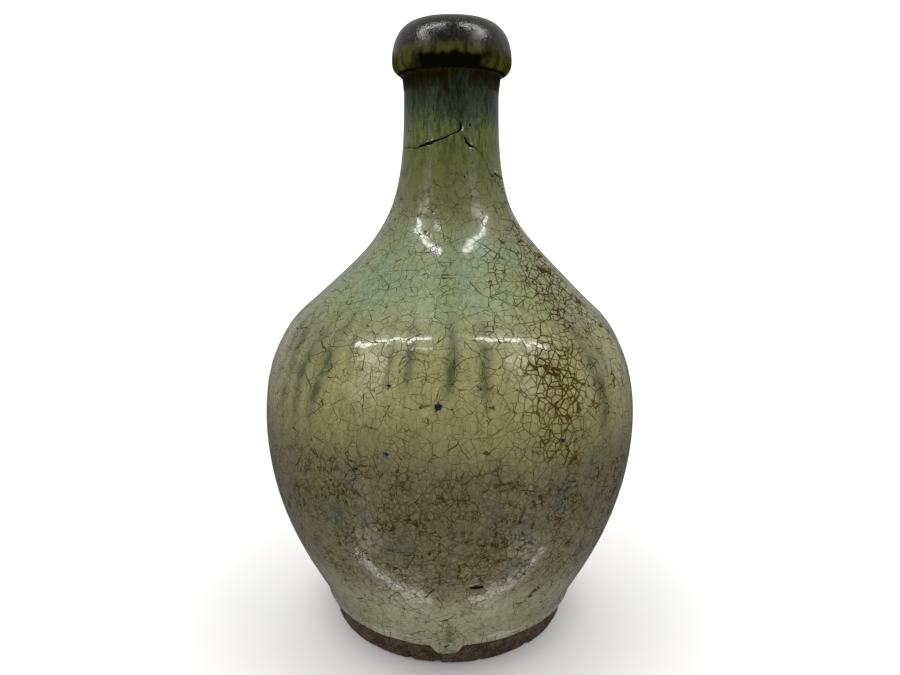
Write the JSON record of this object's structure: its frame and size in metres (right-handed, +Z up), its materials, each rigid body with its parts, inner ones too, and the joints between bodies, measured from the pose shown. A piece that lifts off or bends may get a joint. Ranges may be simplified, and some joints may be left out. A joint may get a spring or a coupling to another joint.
{
  "type": "sake bottle",
  "caption": "Free-standing stoneware sake bottle with a round body, tall tapering neck, rolled dark lip, green over-glaze and a bare clay foot.",
  "frame": {"origin": "centre of the foot's underside, on the surface that the bottle stands on", "axes": "+Z up along the bottle's own axis of rotation, from the foot to the mouth; -Y is the side with the run of glaze over the foot"},
  "size_m": [0.159, 0.159, 0.25],
  "materials": {
    "bare_clay": "coarse dark brown fired clay, matt and granular",
    "body_clay": "fired stoneware clay, matt",
    "ash_glaze": "glossy pale ash glaze with a fine brown-stained crackle",
    "green_glaze": "glossy olive to sea-green over-glaze, streaked and running down",
    "iron_glaze": "near-black iron glaze with a faint metallic mottle",
    "lining_glaze": "thin glossy ash glaze"
  },
  "bodies": {
    "root": {"foot_ring": "bare_clay", "base_disc": "bare_clay", "lower_body_wall": "body_clay", "upper_body_wall": "body_clay", "neck_tube": "body_clay", "lip_collar": "body_clay", "body_glaze": "ash_glaze", "shoulder_glaze": "green_glaze", "lip_glaze": "iron_glaze", "interior_glaze": "lining_glaze"}
  },
  "joints": []
}
